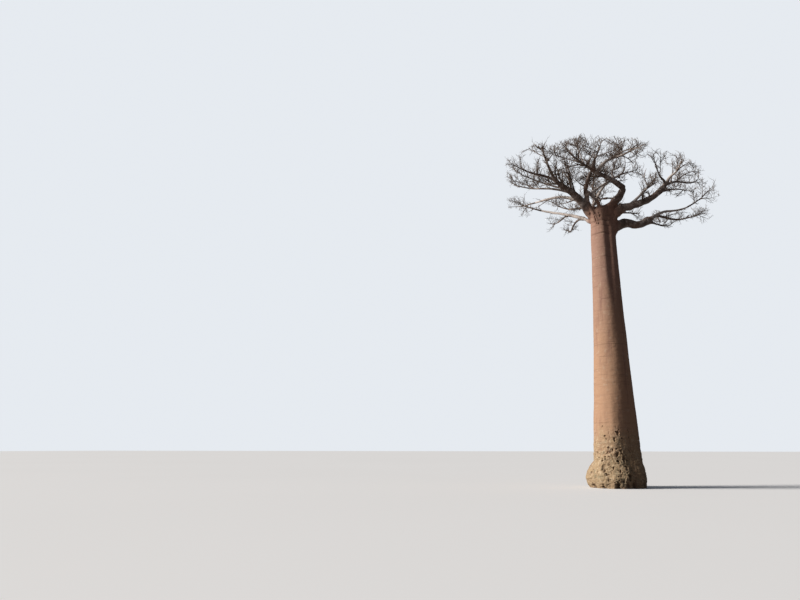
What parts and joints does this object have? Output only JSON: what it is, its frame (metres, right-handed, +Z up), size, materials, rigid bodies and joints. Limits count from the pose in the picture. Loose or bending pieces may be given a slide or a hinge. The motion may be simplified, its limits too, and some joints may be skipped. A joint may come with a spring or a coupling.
{
  "type": "baobab tree",
  "caption": "Leafless baobab with a stout smooth trunk, a lobed foot, thick crooked boughs at its fork and a wide flat crown of bare twigs.",
  "frame": {"origin": "middle of the flat cut under the trunk, at ground level", "axes": "+Z up along the trunk, +X to the viewer's right and -Y towards the viewer, as the tree stands in the picture"},
  "size_m": [15.0074, 12.2101, 23.0959],
  "materials": {
    "trunk_bark": "smooth pinkish tan bark with fine rings, paler and pitted at the foot",
    "bough_bark": "smooth grey-brown bark, a little wrinkled",
    "twig_bark": "matte grey-brown twig bark"
  },
  "bodies": {
    "root": {"trunk": "trunk_bark", "bough_low_right": "bough_bark", "bough_right": "bough_bark", "bough_left": "bough_bark", "bough_bent": "bough_bark", "bough_bent_over": "bough_bark", "bough_front_prop": "bough_bark", "bough_low_left": "bough_bark", "bough_centre": "bough_bark", "bough_pale": "bough_bark", "bough_back": "bough_bark", "bough_back_left": "bough_bark", "bough_back_right": "bough_bark", "bough_left_side": "bough_bark", "bough_left_middle": "bough_bark", "bough_left_outer": "bough_bark", "bough_left_upright": "bough_bark", "bough_left_back": "bough_bark", "bough_low_left_fork": "bough_bark", "bough_low_left_hook": "bough_bark", "bough_front": "bough_bark", "bough_front_right": "bough_bark", "bough_front_right_side": "bough_bark", "bough_bent_upright": "bough_bark", "bough_right_front": "bough_bark", "bough_right_upright": "bough_bark", "bough_right_outer": "bough_bark", "bough_right_back": "bough_bark", "bough_right_inner": "bough_bark", "bough_low_right_outer": "bough_bark", "bough_low_right_middle": "bough_bark", "bough_low_right_back": "bough_bark", "twigs_left": "twig_bark", "twigs_bent_over": "twig_bark", "twigs_low_left": "twig_bark", "twigs_centre": "twig_bark", "twigs_pale": "twig_bark", "twigs_back": "twig_bark", "twigs_back_left": "twig_bark", "twigs_back_right": "twig_bark", "twigs_left_side": "twig_bark", "twigs_left_middle": "twig_bark", "twigs_left_outer": "twig_bark", "twigs_left_upright": "twig_bark", "twigs_left_back": "twig_bark", "twigs_low_left_fork": "twig_bark", "twigs_low_left_hook": "twig_bark", "twigs_front": "twig_bark", "twigs_front_right": "twig_bark", "twigs_front_right_side": "twig_bark", "twigs_bent_upright": "twig_bark", "twigs_right_front": "twig_bark", "twigs_right_upright": "twig_bark", "twigs_right_outer": "twig_bark", "twigs_right_back": "twig_bark", "twigs_right_inner": "twig_bark", "twigs_low_right_outer": "twig_bark", "twigs_low_right_middle": "twig_bark", "twigs_low_right_back": "twig_bark"}
  },
  "joints": []
}
